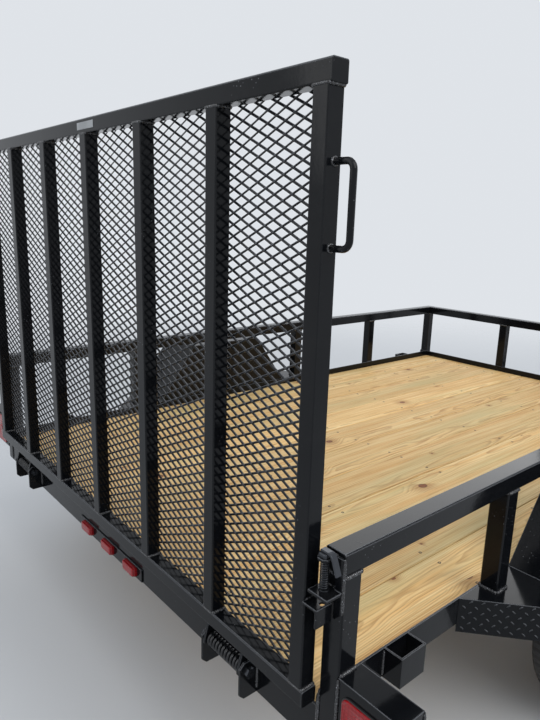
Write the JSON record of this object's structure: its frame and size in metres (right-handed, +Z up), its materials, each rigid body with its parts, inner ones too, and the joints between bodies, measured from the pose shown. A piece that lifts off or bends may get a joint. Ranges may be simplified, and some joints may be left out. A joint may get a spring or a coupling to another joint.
{
  "type": "single-axle utility trailer",
  "caption": "Black single-axle utility trailer with a lengthwise wood deck, tube side rails, folding mesh ramp gate with lift springs, fenders, leaf springs, A-frame tongue and jack.",
  "frame": {"origin": "on the ground, under the middle of the trailer's box, level with the tyres' lowest points", "axes": "+X forwards to the hitch, +Y to the trailer's left, +Z up"},
  "size_m": [4.3624, 2.4638, 1.7482],
  "materials": {
    "black_paint": "gloss",
    "deck_wood": "matte",
    "tyre_rubber": "matte",
    "wheel_paint": "satin",
    "bare_steel": "satin",
    "spring_steel": "satin",
    "jack_finish": "satin",
    "red_lens": "gloss",
    "amber_lens": "gloss",
    "pale_label": "matte"
  },
  "bodies": {
    "chassis": {"side_rails": "black_paint", "rear_sill": "black_paint", "front_header": "black_paint", "crossmembers": "black_paint", "deck_boards": "deck_wood", "top_rails_side": "black_paint", "top_rail_front": "black_paint", "uprights": "black_paint", "stake_pockets": "black_paint", "frame_ears": "black_paint", "hinge_pins": "bare_steel", "latch_brackets": "black_paint", "latch_pins": "bare_steel", "axle_beam": "black_paint", "leaf_springs": "spring_steel", "spring_hangers": "black_paint", "spring_clamps": "bare_steel", "fender_left": "black_paint", "fender_right": "black_paint", "light_boxes": "black_paint", "tail_lamps": "red_lens", "id_lamp_bar": "black_paint", "id_lamps": "red_lens", "side_markers": "amber_lens", "tongue_channels": "black_paint", "coupler": "black_paint", "coupler_latch": "bare_steel", "jack_housing": "jack_finish", "jack_crank": "jack_finish"},
    "gate": {"gate_rails": "black_paint", "gate_posts": "black_paint", "gate_bars": "black_paint", "gate_mesh": "black_paint", "gate_handles": "black_paint", "gate_label": "pale_label", "gate_ears": "black_paint", "latch_tabs": "black_paint", "hinge_springs": "black_paint"},
    "wheel_left": {"tyre_left": "tyre_rubber", "rim_left": "wheel_paint", "hub_left": "bare_steel"},
    "wheel_right": {"tyre_right": "tyre_rubber", "rim_right": "wheel_paint", "hub_right": "bare_steel"},
    "jack_leg": {"jack_leg": "bare_steel"}
  },
  "joints": [
    {"name": "wheel_left_spin", "type": "hinge", "parent": "chassis", "child": "wheel_left", "pos_m": [-0.95621, 1.113, 0.344], "axis": [0, 1, 0], "continuous": true},
    {"name": "wheel_right_spin", "type": "hinge", "parent": "chassis", "child": "wheel_right", "pos_m": [-0.95621, -1.113, 0.344], "axis": [0, 1, 0], "continuous": true},
    {"name": "gate_swing", "type": "hinge", "parent": "chassis", "child": "gate", "pos_m": [-2.16021, 0, 0.487], "axis": [0, -1, 0], "range_deg": [0, 111]},
    {"name": "jack_slide", "type": "slide", "parent": "chassis", "child": "jack_leg", "axis": [0, 0, 1], "range_m": [-0.1, 0.154]}
  ]
}
